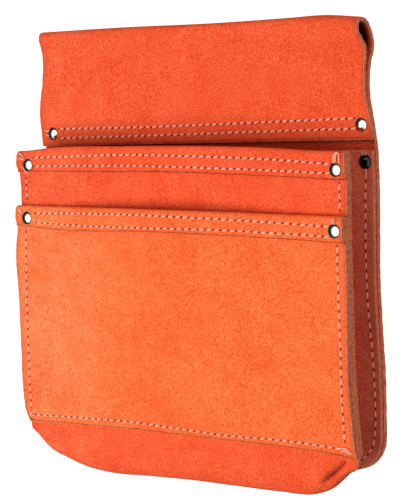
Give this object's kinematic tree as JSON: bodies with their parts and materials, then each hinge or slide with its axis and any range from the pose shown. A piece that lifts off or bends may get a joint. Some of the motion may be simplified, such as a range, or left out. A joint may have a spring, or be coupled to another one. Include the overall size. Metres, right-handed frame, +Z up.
{
  "type": "carpenter nail apron",
  "caption": "Suede leather nail and tool pouch with a belt tunnel, a deep main pocket and a small front pocket.",
  "frame": {"origin": "middle of the inside top of the belt tunnel, where the belt carries the pouch", "axes": "+X along the belt, -Y is the front with the pockets, +Y faces the wearer, +Z up"},
  "size_m": [0.2903, 0.057, 0.3209],
  "materials": {
    "suede_red": "napped suede, red orange",
    "suede_orange": "napped suede, orange",
    "suede_gusset": "napped suede, darker red",
    "nickel": "polished nickel plate"
  },
  "bodies": {
    "root": {"back_panel": "suede_red", "main_pocket": "suede_red", "small_pocket": "suede_orange", "gusset_left": "suede_gusset", "gusset_right": "suede_gusset", "rivet_flap_left": "nickel", "rivet_flap_right": "nickel", "rivet_main_left": "nickel", "rivet_main_right": "nickel", "rivet_small_left": "nickel", "rivet_small_right": "nickel", "rivet_rear_left": "nickel", "rivet_rear_right": "nickel"}
  },
  "joints": []
}
